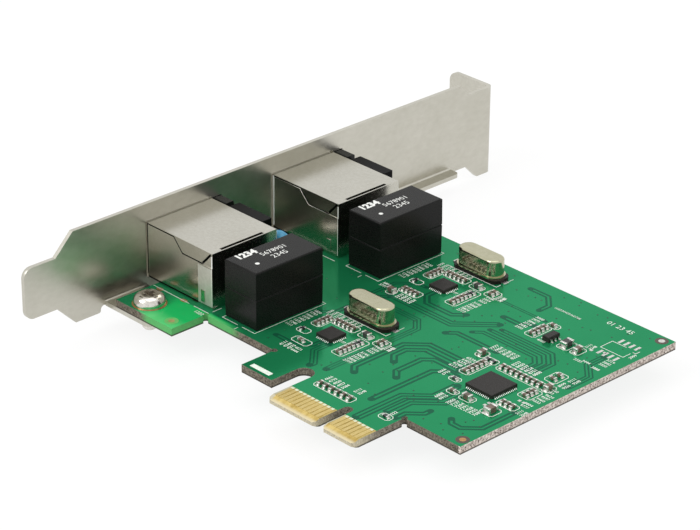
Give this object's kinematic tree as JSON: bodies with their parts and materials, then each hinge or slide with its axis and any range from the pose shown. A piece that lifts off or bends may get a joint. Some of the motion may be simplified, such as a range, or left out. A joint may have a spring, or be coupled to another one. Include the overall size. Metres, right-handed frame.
{
  "type": "network interface card",
  "caption": "Two-port network expansion card: green board with an edge connector, shielded jacks, transformers and chips on a full-height slot bracket.",
  "frame": {"origin": "middle of the key notch on the contact edge, at the board's middle plane", "axes": "+X from the bracket to the board's tail, +Y from the contact edge to the bracket's flange, +Z out of the component side"},
  "size_m": [0.095, 0.12, 0.0216],
  "materials": {
    "solder_mask": "glossy green solder mask over glass-fibre board",
    "gold_contacts": "gold-plated copper, satin",
    "plated_steel": "satin zinc-plated sheet steel",
    "screw_steel": "bright plated steel",
    "shield_steel": "satin nickel-plated sheet",
    "jack_plastic": "matte black moulding",
    "light_plastic": "smoky moulding, slightly glossy",
    "transformer_plastic": "matte black moulding",
    "tinned_metal": "tinned metal, satin",
    "can_metal": "satin nickel-plated can",
    "chip_plastic": "matte black epoxy",
    "capacitor_ceramic": "fired tan ceramic",
    "resistor_ceramic": "dark glazed film on white ceramic",
    "ferrite_ceramic": "dark grey ferrite",
    "disc_coating": "dipped light blue coating, glossy"
  },
  "bodies": {
    "root": {"circuit_board": "solder_mask", "edge_contacts_top": "gold_contacts", "edge_contacts_bottom": "gold_contacts", "bracket": "plated_steel", "bracket_screws": "screw_steel", "light_leads": "tinned_metal", "disc_capacitor": "disc_coating", "disc_capacitor_leads": "tinned_metal", "crystal_leads": "tinned_metal", "controller_pads": "tinned_metal", "switch_chip_pads": "tinned_metal", "switch_chip": "chip_plastic", "voltage_regulator": "chip_plastic", "regulator_leads": "tinned_metal", "chip_capacitors": "capacitor_ceramic", "chip_resistors": "resistor_ceramic", "ferrite_beads": "ferrite_ceramic", "power_inductor": "ferrite_ceramic", "chip_terminals": "tinned_metal", "solder_joints": "tinned_metal", "jack_shield_1": "shield_steel", "jack_housing_1": "jack_plastic", "jack_contacts_1": "gold_contacts", "light_holder_1": "jack_plastic", "status_light_1": "light_plastic", "transformer_case_1": "transformer_plastic", "transformer_base_1": "transformer_plastic", "transformer_leads_1": "tinned_metal", "crystal_can_1": "can_metal", "crystal_base_1": "chip_plastic", "lan_controller_1": "chip_plastic", "jack_shield_2": "shield_steel", "jack_housing_2": "jack_plastic", "jack_contacts_2": "gold_contacts", "light_holder_2": "jack_plastic", "status_light_2": "light_plastic", "transformer_case_2": "transformer_plastic", "transformer_base_2": "transformer_plastic", "transformer_leads_2": "tinned_metal", "crystal_can_2": "can_metal", "crystal_base_2": "chip_plastic", "lan_controller_2": "chip_plastic"}
  },
  "joints": []
}
